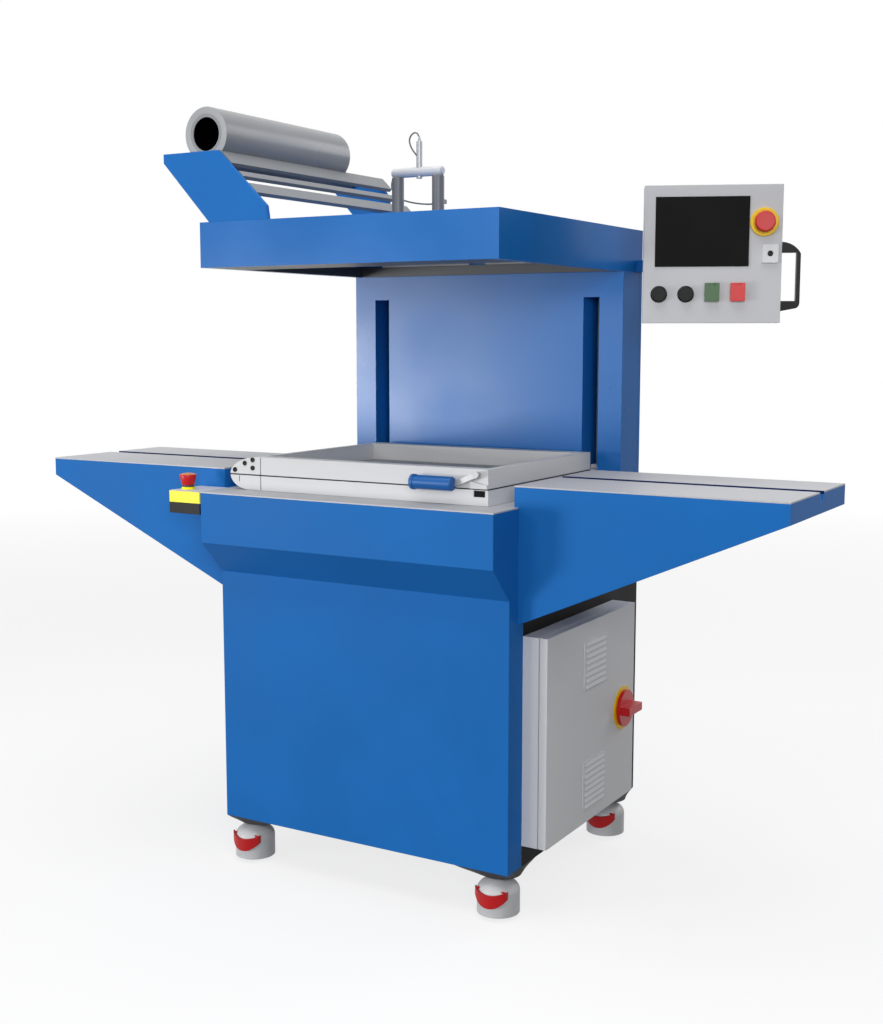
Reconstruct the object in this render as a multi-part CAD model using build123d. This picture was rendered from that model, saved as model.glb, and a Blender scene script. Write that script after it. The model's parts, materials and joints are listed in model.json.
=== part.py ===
from build123d import *
import os
from math import cos, radians, sin, tan

# Skin packaging machine, in millimetres.
# +X runs along the side tables, +Y from the operator to the rear wall, +Z up.
# The origin is on the floor, under the middle of the machine's box.

# Body
body_width = 726.0
body_depth = 653.0
floor_gap = 105.5
sheet = 3.0

# Front panel and console
panel_depth = 61.0
console_height = 184.2
console_nose_height = 112.2
console_overhang = 68.6
deck_height = 857.0

# Side tables
table_length = 1816.0
table_rise = 43.0
table_front = 36.0
table_depth = 375.0
table_end_height = 42.0
table_root_height = 281.0
left_table_gap = 17.0
right_table_lap = 9.0
groove_width = 30.0
groove_depth = 14.0
groove_setback = 205.0

# Rear wall and lift slots
wall_thickness = 109.0
wall_cover_thickness = 21.0
slot_width = 40.0
slot_inset = 78.0
slot_clearance = 5.0
guide_diameter = 16.0
guide_setback = 56.0
slot_end_gap = 6.6
running_clearance = 0.3

# Hood
opening_height = 482.0
hood_height = 96.0
hood_front = -51.4
hood_wall = 20.0
flange_depth = 128.0
heater_length = 245.0
heater_width = 60.0
heater_radius = 60.0
heater_wall = 10.0
heater_columns = 2
heater_rows = 6
heater_pitch_x = 290.0
heater_pitch_y = 72.0
socket_length = 40.0
socket_width = 24.0
socket_height = 34.0
socket_seat = 2.0

# Film frame and clamp frame
frame_left_inset = 18.0
frame_right_inset = 56.0
frame_front = 13.4
frame_rear_gap = 44.0
frame_height = 74.0
lower_frame_height = 35.0
left_bar = 83.0
front_bar = 30.0
right_bar = 16.0
rear_bar = 35.0
rest_clearance = 0.4
end_curve_length = 51.0
top_curve_length = 83.0
lift_travel = 380.0
lift_arm_width = 24.0
lift_arm_height = 25.0
lift_arm_rise = 4.0
lift_block_height = 34.0
hinge_radius = 4.5
hinge_pin_radius = 2.0
hinge_leaf_width = 14.0
hinge_leaf_lap = 7.0
hinge_end_gap = 0.5
hinge_setback = 46.0
hinge_knuckles = 7

# Clamp lever
lever_setback = 20.0
lever_rise = 29.0
lever_pin_radius = 4.0
lever_head_radius = 6.5
lever_head_height = 3.0
lever_thickness = 8.0
lever_gap = 6.0
lever_height = 12.0
lever_arm_length = 49.0
lever_drop = 17.0
lever_tang_length = 12.0
grip_length = 97.0
grip_diameter = 29.0
grip_end_diameter = 32.0
grip_end_length = 9.0
grip_round = 3.0
grip_drop = 3.0
latch_width = 39.0
latch_height = 15.0
latch_proud = 5.0
keeper_width = 26.0
keeper_height = 13.0
keeper_depth = 9.0
keeper_drop = 4.0

# Vacuum table
vacuum_clearance = 5.5
vacuum_rise = 36.0
vacuum_hole_diameter = 6.0
vacuum_hole_depth = 12.0
vacuum_columns = 4
vacuum_rows = 3

# Film roll and cradle
roll_inset = 13.0
roll_rise = 185.0
roll_radius = 56.6
roll_end_gap = 1.4
roll_length = 460.0
core_radius = 42.0
core_bore_radius = 35.0
cradle_plate = 10.0
cradle_rear_inset = 70.0
cradle_height = 148.0
cradle_tip = 110.0
cradle_tip_height = 19.0
cradle_heel = 12.0
front_crest = 38.0
front_toe = 169.0
front_toe_height = 28.0
front_toe_lean = 4.0
rear_crest = 28.0
rear_toe = 60.0
rear_corner_height = 100.0
rail_starts = (0.4, 63.0, 100.0)
rail_widths = (38.0, 16.0, 29.0)
rail_thickness = 9.0
support_width = 22.0

# Yoke on the hood
yoke_y = 250.0
yoke_span = 105.0
yoke_post_diameter = 33.0
yoke_bar_diameter = 21.0
yoke_bar_length = 134.0
yoke_height = 114.0
yoke_rod_diameter = 13.0
yoke_rod_rise = 179.0
yoke_rod_length = 79.0
yoke_rod_x = 4.0
yoke_rod_fit = 0.1
gland_size = 9.0
gland_length = 15.0
gland_offset = 4.0
gland_height = 50.0
hose_diameter = 3.5
hose_bend_share = 0.45
hose_points = [
    (4.0, 0.0, 179.0),
    (4.0, 0.0, 193.0),
    (-10.0, 1.0, 201.0),
    (-26.0, 4.0, 187.0),
    (-22.0, 8.0, 167.0),
    (-9.0, 13.0, 150.0),
    (-2.0, 19.0, 132.0),
    (-12.0, 23.0, 114.0),
    (-34.0, 24.0, 110.0),
    (-60.0, 23.0, 121.0),
    (-80.0, 23.0, 108.0),
    (-84.0, 23.0, 85.0),
    (-70.0, 23.5, 65.0),
    (-44.0, 24.0, 55.0),
    (-14.0, 24.0, 49.0),
    (16.0, 24.0, 46.0),
    (34.0, 24.0, 48.0),
    (47.5, 24.0, 50.0),
]

# Control panel
panel_yaw = 23.4
panel_size = 285.0
panel_box_depth = 80.0
panel_rise = 25.0
panel_radius = 212.0
arm_length = 161.0
arm_inset = 21.0
arm_depth = 30.0
arm_height = 26.0
arm_rise = 1.0
knuckle_radius = 20.0
knuckle_gap = 1.0
pivot_pin_radius = 8.0
neck_height = 24.0
screen_width = 194.0
screen_height = 144.4
screen_left = 23.4
screen_drop = 23.6
screen_proud = 2.0
panel_stop_x = 247.7
panel_stop_drop = 77.0
stop_ring_radius = 29.4
stop_ring_height = 5.0
panel_stop_radius = 21.0
panel_stop_height = 24.0
panel_stop_stem = 10.0
button_rounding = 3.0
port_x = 261.0
port_drop = 142.0
port_width = 33.6
port_height = 38.4
port_proud = 6.0
port_hole_radius = 6.0
port_hole_depth = 4.0
button_row_drop = 225.0
left_button_x = 33.0
right_button_x = 89.0
round_button_radius = 14.8
round_button_stem = 9.0
key_row_drop = 240.0
start_key_x = 128.0
stop_key_x = 181.0
key_width = 30.0
key_height = 38.0
key_notch_width = 12.0
key_notch_height = 5.0
key_stem = 8.0
button_gap = 1.0
button_head = 12.0
button_root = 6.0
handle_drop = 116.0
handle_height = 145.0
handle_reach = 43.0
handle_root = 22.0
handle_grip = 8.0
handle_width = 22.0
handle_setback = 33.0
handle_crown = 24.5
handle_crown_bulge = 6.5
handle_crown_middle = 26.0
handle_heel = 8.0
handle_heel_radius = 12.0

# Electrical cabinet
cabinet_front = 60.0
cabinet_length = 450.0
cabinet_rise = 45.5
cabinet_top_gap = 27.0
cabinet_depth = 36.0
door_gap = 2.0
seal_inset = 8.0
door_thickness = 17.3
switch_inset = 63.0
switch_rise = 210.0
switch_plate_radius = 49.0
switch_disc_radius = 41.0
switch_plate_thickness = 3.0
switch_disc_thickness = 8.0
switch_bar_height = 22.0
switch_bar_length = 72.0
switch_bar_width = 18.0
vent_inset = 155.0
vent_width = 119.0
vent_height = 106.0
vent_edge_gap = 30.0
vent_upper_drop = 41.0
vent_proud = 2.0
louvre_count = 8
louvre_length = 99.0
louvre_height = 7.0
louvre_proud = 3.0

# Stop box beside the console
stop_box_width = 86.0
stop_box_height = 49.0
stop_box_gap = 3.0
stop_cover_height = 25.0
stop_button_setback = 38.0
stop_button_top_radius = 24.0
stop_button_neck_radius = 17.5
stop_button_height = 42.0
stop_button_inset = 64.0
stop_collar_height = 6.0
stop_collar_step = 3.0
stop_stem_radius = 8.0
stop_stem_depth = 5.0
stop_bore_depth = 10.0
stop_box_drop = 2.0
stop_head_rounding = 4.0
button_travel = 4.0
button_stem = 9.0
button_bore = 14.0

# Casters
caster_inset = 45.0
caster_front_inset = 45.0
caster_rear_inset = 61.0
caster_trail = 14.0
hood_radius = 45.0
caster_wall = 4.0
caster_rim = 9.0
caster_shoulder = 55.0
caster_top = 86.0
race_radius = 24.0
race_height = 12.0
dome_gap = 4.0
wheel_radius = 32.0
wheel_width = 19.0
wheel_gap = 4.0
wheel_rounding = 3.0
wheel_hub_share = 0.5
axle_radius = 5.0
bracket_width = 160.0
bracket_depth = 92.0
bracket_foot_radius = 34.0
pedal_gap = 1.0
pedal_thickness = 4.0
pedal_half_angle = 48.0
pedal_bottom = 29.0
pedal_top = 66.0
pedal_dip = 9.0
pedal_shoulder = 17.0
pedal_pin_edge = 1.0
pedal_pin_radius = 2.0
pedal_pin_length = 8.0

# Places worked out from the sizes above
half_body = body_width / 2
half_table = table_length / 2
front_y = console_overhang - (console_overhang + body_depth) / 2
rear_y = front_y + body_depth
console_y = front_y - console_overhang
wall_y = rear_y - wall_thickness
console_top = deck_height - sheet
panel_top = deck_height - console_height
nose_bottom = deck_height - console_nose_height
table_height = deck_height + table_rise
table_root = table_height - table_root_height
table_y = front_y + table_front
backplate_x = half_body - sheet
hood_bottom = deck_height + opening_height
hood_top = hood_bottom + hood_height
hood_front_y = front_y + hood_front
slot_x = half_body - slot_inset
guide_y = wall_y + guide_setback
frame_left = -half_body + frame_left_inset
frame_right = half_body - frame_right_inset
frame_front_y = front_y + frame_front
frame_rear_y = wall_y - frame_rear_gap
frame_bottom = deck_height + rest_clearance
frame_split = deck_height + lower_frame_height
frame_top = deck_height + frame_height
lift_arm_z = frame_bottom + lift_arm_rise
slot_top = lift_arm_z + lift_block_height + lift_travel + slot_end_gap
window_left = frame_left + left_bar
window_right = frame_right - right_bar
window_front_y = frame_front_y + front_bar
window_rear_y = frame_rear_y - rear_bar
lever_pivot_x = frame_right - lever_setback
lever_pivot_z = frame_split + lever_rise
vacuum_top = deck_height + vacuum_rise
roll_x = -half_body + roll_inset
roll_z = hood_top + roll_rise
roll_front_y = hood_front_y + cradle_plate + roll_end_gap
cradle_rear_y = rear_y - cradle_rear_inset
cradle_top = hood_top + cradle_height
yoke_centre_y = front_y + yoke_y
yoke_bar_z = hood_top + yoke_height
yoke_rod_top = hood_top + yoke_rod_rise
arm_pivot_x = half_body + arm_length
arm_pivot_y = rear_y - arm_inset
arm_bottom = hood_bottom + arm_rise
panel_centre_z = hood_bottom + panel_rise
cabinet_y = front_y + cabinet_front
cabinet_bottom = floor_gap + cabinet_rise
cabinet_top = table_root - cabinet_top_gap
door_x = half_body + cabinet_depth + door_gap
door_face_x = door_x + door_thickness
switch_y = cabinet_y + cabinet_length - switch_inset
switch_z = cabinet_bottom + switch_rise
caster_x = half_body - caster_inset

pieces = {}


def block(x0, x1, y0, y1, z0, z1):
    """A box given by its two corners."""
    return Pos((x0 + x1) / 2, (y0 + y1) / 2, (z0 + z1) / 2) * Box(x1 - x0, y1 - y0, z1 - z0)


def rod(start, direction, radius, length):
    """A round bar from a point along a direction."""
    plane = Plane(origin=start, z_dir=direction)
    return extrude(plane * Circle(radius), amount=length)


def plate_xz(points, y0, y1):
    """An outline in X and Z, carried from y0 to y1."""
    outline = Polyline([Vector(x, y0, z) for x, z in points], close=True)
    return extrude(make_face(outline), amount=y1 - y0, dir=(0, 1, 0))


def plate_yz(points, x0, x1):
    """An outline in Y and Z, carried from x0 to x1."""
    outline = Polyline([Vector(x0, y, z) for y, z in points], close=True)
    return extrude(make_face(outline), amount=x1 - x0, dir=(1, 0, 0))


def make_body():
    """The closed base, its front panel, the bevelled console and the deck."""
    housing = block(-half_body, half_body, front_y + panel_depth, rear_y, floor_gap, console_top)
    recess = block(backplate_x, half_body, front_y + panel_depth, rear_y, floor_gap, table_root)
    pieces["base_housing"] = housing - recess
    pieces["cabinet_backplate"] = recess
    pieces["front_panel"] = block(
        -half_body, half_body, front_y, front_y + panel_depth, floor_gap, panel_top
    )
    nose = [
        (front_y, panel_top),
        (front_y + panel_depth, panel_top),
        (front_y + panel_depth, console_top),
        (console_y, console_top),
        (console_y, nose_bottom),
    ]
    pieces["console"] = plate_yz(nose, -half_body, half_body)
    pieces["deck"] = block(
        -half_body, half_body, console_y, wall_y, console_top, deck_height
    )


def make_table(side, start):
    """One side table: a tapered box with a round bottomed groove along its top."""
    top = table_height - sheet
    outline = [
        (side * half_body, table_root),
        (side * half_table, table_height - table_end_height),
        (side * half_table, top),
        (side * start, top),
        (side * start, deck_height),
        (side * half_body, deck_height),
    ]
    y0 = table_y
    y1 = y0 + table_depth
    groove_y = y0 + groove_setback
    body = plate_xz(outline, y0, y1)
    x_low = min(side * start, side * half_table)
    x_high = max(side * start, side * half_table)
    bottom_z = table_height - groove_depth
    radius = groove_width / 2
    groove = block(x_low, x_high, groove_y - radius, groove_y + radius, bottom_z + radius / 2, table_height)
    flare = extrude(
        Plane(origin=(x_low, groove_y, bottom_z + radius / 2), z_dir=(1, 0, 0))
        * Ellipse(radius, radius / 2),
        amount=x_high - x_low,
    )
    body = body - groove - flare
    skin = block(x_low, x_high, y0, y1, top, table_height) - groove
    return body, skin


def make_tables():
    """Both side tables with their steel tops."""
    body, skin = make_table(-1, half_body + left_table_gap)
    pieces["left_table"] = body
    pieces["left_table_top"] = skin
    body, skin = make_table(1, half_body - right_table_lap)
    pieces["right_table"] = body
    pieces["right_table_top"] = skin


def make_wall():
    """The rear wall with two lift slots, its cover and the lift guides in the slots."""
    cover_y = rear_y - wall_cover_thickness
    wall = block(-half_body, half_body, wall_y, cover_y, console_top, hood_bottom)
    for side in (-1, 1):
        low = side * slot_x - slot_width / 2
        wall = wall - block(low, low + slot_width, wall_y, cover_y, deck_height, slot_top)
    pieces["rear_wall"] = wall
    pieces["rear_cover"] = block(
        -half_body, half_body, cover_y, rear_y, console_top, hood_bottom
    )
    guides = Part()
    for side in (-1, 1):
        foot = (side * slot_x, guide_y, deck_height)
        guides += rod(foot, (0, 0, 1), guide_diameter / 2, slot_top - deck_height)
    pieces["lift_guides"] = guides


def make_hood():
    """The hood shell, its front flange and the heaters in its cavity."""
    cavity_rear_y = wall_y
    shell = block(-half_body, half_body, hood_front_y, rear_y, hood_bottom, hood_top)
    inner = block(
        -half_body + hood_wall,
        half_body - hood_wall,
        hood_front_y + flange_depth,
        cavity_rear_y,
        hood_bottom,
        hood_top - hood_wall,
    )
    strip = block(
        -half_body + hood_wall,
        half_body - hood_wall,
        hood_front_y + sheet,
        hood_front_y + flange_depth,
        hood_bottom,
        hood_bottom + sheet,
    )
    pieces["hood_shell"] = shell - inner - strip
    pieces["hood_flange"] = strip

    ceiling_z = hood_top - hood_wall
    centre_y = (hood_front_y + flange_depth + cavity_rear_y) / 2
    outer = rod((-heater_length / 2, 0, 0), (1, 0, 0), heater_radius, heater_length)
    inner = rod((-heater_length / 2, 0, 0), (1, 0, 0), heater_radius - heater_wall, heater_length)
    half = heater_width / 2
    trough = (outer - inner) & block(-heater_length, heater_length, -half, half, 0, heater_radius)
    socket = block(
        -socket_length / 2,
        socket_length / 2,
        -socket_width / 2,
        socket_width / 2,
        heater_radius - socket_seat,
        heater_radius + socket_height,
    )
    socket = socket - outer
    axis_z = ceiling_z - socket_height - heater_radius
    bank = []
    for column in range(heater_columns):
        for row in range(heater_rows):
            x = (column - (heater_columns - 1) / 2) * heater_pitch_x
            y = centre_y + (row - (heater_rows - 1) / 2) * heater_pitch_y
            bank += [Pos(x, y, axis_z) * trough, Pos(x, y, axis_z) * socket]
    pieces["heater_bank"] = Compound(children=bank)


def frame_outline(lower):
    """The film frame's end outline: one bar split in two, with a rounded left end."""
    if lower:
        curve = EllipticalCenterArc(
            (frame_left + end_curve_length, frame_split - rest_clearance),
            end_curve_length,
            frame_split - rest_clearance - frame_bottom,
            start_angle=180,
            arc_size=90,
        )
        corner = (frame_right, frame_bottom)
        level = frame_split - rest_clearance
    else:
        curve = EllipticalCenterArc(
            (frame_left + top_curve_length, frame_split),
            top_curve_length,
            frame_top - frame_split,
            start_angle=90,
            arc_size=90,
        )
        corner = (frame_right, frame_top)
        level = frame_split
    rest = Polyline(
        [curve @ 1, corner, (frame_right, level), (frame_left, level)]
        if lower
        else [curve @ 1, (frame_right, level), corner, curve @ 0]
    )
    return make_face(Curve() + [curve, rest])


def make_frame_half(lower):
    """One half of the film frame, cut through by the window over the vacuum table."""
    plane = Plane(origin=(0, frame_rear_y, 0), x_dir=(1, 0, 0), z_dir=(0, -1, 0))
    bar = extrude(plane * frame_outline(lower), amount=frame_rear_y - frame_front_y)
    window = block(
        window_left, window_right, window_front_y, window_rear_y, frame_bottom - 1, frame_top + 1
    )
    return bar - window


def make_film_frame():
    """The lower film frame with its lift arms, and the clamp frame hinged to its left edge."""
    lower = make_frame_half(True)
    upper = make_frame_half(False)

    for side in (-1, 1):
        x = side * slot_x
        arm = block(
            x - lift_arm_width / 2,
            x + lift_arm_width / 2,
            frame_rear_y,
            guide_y + guide_diameter,
            lift_arm_z,
            lift_arm_z + lift_arm_height,
        )
        slide_half = (slot_width - 2 * slot_clearance) / 2
        carriage = block(
            x - slide_half,
            x + slide_half,
            guide_y - guide_diameter,
            guide_y + guide_diameter,
            lift_arm_z,
            lift_arm_z + lift_block_height,
        )
        bore_radius = guide_diameter / 2 + running_clearance
        bore = rod((x, guide_y, lift_arm_z), (0, 0, 1), bore_radius, lift_block_height)
        lower = lower + arm + carriage - bore

    hinge_x = frame_left - hinge_radius + hinge_end_gap
    leaf_x = hinge_x + hinge_leaf_width
    start = frame_front_y + hinge_setback
    stop = frame_rear_y - hinge_setback
    pitch = (stop - start) / hinge_knuckles
    gap = hinge_end_gap
    for index in range(hinge_knuckles):
        y = start + index * pitch
        knuckle = rod((hinge_x, y + gap, frame_split), (0, 1, 0), hinge_radius, pitch - 2 * gap)
        relief = rod((hinge_x, y, frame_split), (0, 1, 0), hinge_radius + gap, pitch)
        if index % 2 == 0:
            leaf_top = frame_split - rest_clearance
            leaf = block(hinge_x, leaf_x, y + gap, y + pitch - gap, frame_split - hinge_leaf_lap, leaf_top)
            lower = lower + leaf + knuckle
            upper = upper - relief
        else:
            leaf_top = frame_split + hinge_leaf_lap
            leaf = block(hinge_x, leaf_x, y + gap, y + pitch - gap, frame_split, leaf_top)
            bore = rod((hinge_x, y, frame_split), (0, 1, 0), hinge_pin_radius + running_clearance, pitch)
            lower = lower - relief
            upper = upper + leaf + knuckle - bore
    pin = rod((hinge_x, start + gap, frame_split), (0, 1, 0), hinge_pin_radius, stop - start - 2 * gap)
    lower = lower + pin

    keeper_x = lever_pivot_x - keeper_width / 2
    keeper_z = frame_split - keeper_drop - keeper_height
    lower = lower - block(
        keeper_x,
        keeper_x + keeper_width,
        frame_front_y,
        frame_front_y + keeper_depth,
        keeper_z,
        keeper_z + keeper_height,
    )
    pieces["film_frame"] = lower

    latch_x = lever_pivot_x - latch_width / 2
    latch = plate_xz(
        [
            (latch_x, frame_split),
            (latch_x + latch_width, frame_split),
            (latch_x + latch_width, frame_split + latch_height / 2),
            (latch_x, frame_split + latch_height),
        ],
        frame_front_y - latch_proud,
        frame_front_y,
    )
    stud_length = lever_gap + lever_thickness + lever_head_height
    stud_start = (lever_pivot_x, frame_front_y - stud_length, lever_pivot_z)
    stud = rod(stud_start, (0, 1, 0), lever_pin_radius, stud_length)
    head = rod(stud_start, (0, 1, 0), lever_head_radius, lever_head_height - running_clearance)
    pieces["clamp_frame"] = upper + latch + stud + head

    grip_x = lever_pivot_x - lever_arm_length
    grip_z = lever_pivot_z - lever_drop - grip_drop
    tang_x = grip_x - lever_tang_length
    arm_y0 = frame_front_y - lever_gap - lever_thickness
    arm_y1 = frame_front_y - lever_gap
    half = lever_height / 2
    arm = plate_xz(
        [
            (lever_pivot_x, lever_pivot_z - half),
            (lever_pivot_x, lever_pivot_z + half),
            (grip_x, grip_z + half),
            (tang_x, grip_z + half),
            (tang_x, grip_z - half),
            (grip_x, grip_z - half),
        ],
        arm_y0,
        arm_y1,
    )
    eye_start = (lever_pivot_x, arm_y0, lever_pivot_z)
    eye = rod(eye_start, (0, 1, 0), half + running_clearance, lever_thickness)
    bore = rod(eye_start, (0, 1, 0), lever_pin_radius + running_clearance, lever_thickness)
    lever = arm + eye - bore
    grip_y = frame_front_y - lever_gap - grip_diameter / 2
    end_x = grip_x - grip_length
    grip = rod((end_x, grip_y, grip_z), (1, 0, 0), grip_diameter / 2, grip_length)
    grip += rod((end_x, grip_y, grip_z), (1, 0, 0), grip_end_diameter / 2, grip_end_length)
    rims = grip.edges().filter_by(GeomType.CIRCLE).sort_by(Axis.X)
    grip = fillet([rims[0], rims[-1]], grip_round)
    pieces["clamp_lever"] = lever - grip
    pieces["lever_grip"] = grip


def make_vacuum_table():
    """The raised vacuum table inside the frame's window."""
    x0 = window_left + vacuum_clearance
    x1 = window_right - vacuum_clearance
    y0 = window_front_y + vacuum_clearance
    y1 = window_rear_y - vacuum_clearance
    top = block(x0, x1, y0, y1, deck_height, vacuum_top)
    for column in range(vacuum_columns):
        for row in range(vacuum_rows):
            x = x0 + (x1 - x0) * (column + 0.5) / vacuum_columns
            y = y0 + (y1 - y0) * (row + 0.5) / vacuum_rows
            bottom = (x, y, vacuum_top - vacuum_hole_depth)
            top = top - rod(bottom, (0, 0, 1), vacuum_hole_diameter / 2, vacuum_hole_depth)
    pieces["vacuum_table"] = top


def cradle_rail(angle, near, far, y0):
    """One flat bar along Y, on a slope that points away from the roll's axis."""
    section = Pos((near + far) / 2, 0, 0) * Box(far - near, rail_thickness, cradle_rear_y - y0)
    turn = Rot(0, 0, angle)
    return Pos(roll_x, (y0 + cradle_rear_y) / 2, roll_z) * Rot(90, 0, 0) * turn * section


def make_cradle():
    """Two slanted plates on the hood, the stepped rails between them, and the film roll."""
    tip = [(roll_x - cradle_tip, cradle_top - cradle_tip_height), (roll_x - cradle_tip, cradle_top)]
    heel = (roll_x + cradle_heel, hood_top)
    front_outline = tip + [
        (roll_x + front_crest, cradle_top),
        (roll_x + front_toe - front_toe_lean, hood_top + front_toe_height),
        (roll_x + front_toe, hood_top),
        heel,
    ]
    rear_outline = tip + [
        (roll_x + rear_crest, cradle_top),
        (roll_x + rear_toe, hood_top + rear_corner_height),
        (roll_x + rear_toe, hood_top),
        heel,
    ]
    pieces["cradle_front"] = plate_xz(front_outline, hood_front_y, hood_front_y + cradle_plate)
    pieces["cradle_rear"] = plate_xz(rear_outline, cradle_rear_y, cradle_rear_y + cradle_plate)
    y0 = hood_front_y + cradle_plate
    rails = Part()
    for start, width in zip(rail_starts, rail_widths):
        near = roll_radius + start
        rails += cradle_rail(-45.0, near, near + width, y0)
    near = roll_radius + rail_starts[0]
    rails += cradle_rail(-135.0, near, near + support_width, y0)
    pieces["cradle_rails"] = rails

    start = (roll_x, roll_front_y, roll_z)
    core = rod(start, (0, 1, 0), core_radius, roll_length)
    pieces["film_roll"] = rod(start, (0, 1, 0), roll_radius, roll_length) - core
    pieces["film_core"] = core - rod(start, (0, 1, 0), core_bore_radius, roll_length)


def make_yoke():
    """The yoke on the hood, its vertical rod and the gland where the thin hose ends."""
    radius = yoke_post_diameter / 2
    yoke = Part()
    for side in (-1, 1):
        yoke += rod((side * yoke_span / 2, yoke_centre_y, hood_top), (0, 0, 1), radius, yoke_height)
    bar_start = (-yoke_bar_length / 2, yoke_centre_y, yoke_bar_z)
    bar = rod(bar_start, (1, 0, 0), yoke_bar_diameter / 2, yoke_bar_length)
    rod_start = (yoke_rod_x, yoke_centre_y, yoke_rod_top - yoke_rod_length)
    seat = rod(rod_start, (0, 0, 1), yoke_rod_diameter / 2 + yoke_rod_fit, yoke_rod_length)
    gland = Pos(yoke_span / 2, yoke_centre_y + radius + gland_offset, hood_top + gland_height) * Box(
        gland_size, gland_length, gland_size
    )
    pieces["yoke"] = yoke + bar - seat + gland
    pieces["yoke_rod"] = rod(rod_start, (0, 0, 1), yoke_rod_diameter / 2, yoke_rod_length)


def make_hose():
    """The thin hose: a loop over the rod, down behind the bar and across behind the posts."""
    points = [Vector(x, yoke_centre_y + y, hood_top + z) for x, y, z in hose_points]
    radii = []
    for before, corner, after in zip(points, points[1:], points[2:]):
        run_in = corner - before
        run_out = after - corner
        half_turn = radians(run_in.get_angle(run_out)) / 2
        radii.append(hose_bend_share * min(run_in.length, run_out.length) / tan(half_turn))
    path = FilletPolyline(*points, radius=radii)
    section = Plane(origin=points[0], z_dir=points[1] - points[0]) * Circle(hose_diameter / 2)
    pieces["yoke_hose"] = sweep(section, path=path)
    print("hose length", round(path.length, 1), "radii", [round(value, 1) for value in radii])


def panel_place(across, out, up):
    """A place on the control panel: across from its centre, out from its face, and up."""
    yaw = radians(panel_yaw)
    reach = panel_radius + out
    x = arm_pivot_x + reach * sin(yaw) + across * cos(yaw)
    y = arm_pivot_y - reach * cos(yaw) + across * sin(yaw)
    return (x, y, panel_centre_z + up)


def panel_block(x0, x1, out0, out1, z0, z1):
    """A box on the control panel, in the panel's own directions."""
    centre = panel_place((x0 + x1) / 2, (out0 + out1) / 2, (z0 + z1) / 2)
    return Pos(*centre) * Rot(0, 0, panel_yaw) * Box(x1 - x0, out1 - out0, z1 - z0)


def panel_disc(across, up, radius, out0, out1):
    """A round piece that stands out of the panel's face."""
    yaw = radians(panel_yaw)
    return rod(panel_place(across, out0, up), (sin(yaw), -cos(yaw), 0), radius, out1 - out0)


def make_handle():
    """The bow handle on the panel's side: thick roots, a thin grip and rounded outer corners."""
    half = panel_size / 2
    top = half - handle_drop
    low = top - handle_height
    plane = Plane(
        origin=panel_place(0, -handle_setback, 0),
        x_dir=(cos(radians(panel_yaw)), sin(radians(panel_yaw)), 0),
        z_dir=(sin(radians(panel_yaw)), -cos(radians(panel_yaw)), 0),
    )
    outer_x = half + handle_reach
    crown = ThreePointArc(
        (half, top),
        (half + handle_crown_middle, top - handle_crown_bulge),
        (outer_x, top - handle_crown),
    )
    rest = Polyline([(outer_x, top - handle_crown), (outer_x, low + handle_heel), (half, low), (half, top)])
    bow = extrude(plane * make_face(Curve() + [crown, rest]), amount=-handle_width)
    heel = bow.edges().filter_by(Axis((0, 0, 0), plane.z_dir)).sort_by(Axis.Z)[:2]
    heel = ShapeList(heel).sort_by(Axis.X)[-1]
    bow = fillet(heel, handle_heel_radius)
    opening = Pos(half, low + handle_root) * Rectangle(
        handle_reach - handle_grip, handle_height - 2 * handle_root, align=(Align.MIN, Align.MIN)
    )
    pieces["panel_handle"] = bow - extrude(plane * opening, amount=-handle_width)


def panel_button(name, across, up, stem_radius, head):
    """One button on the panel: its stem runs in a bore that goes into the panel box."""
    stem = panel_disc(across, up, stem_radius, -button_stem, button_root)
    pieces[name] = stem + head
    return panel_disc(across, up, stem_radius + running_clearance, -button_bore, 0)


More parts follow.
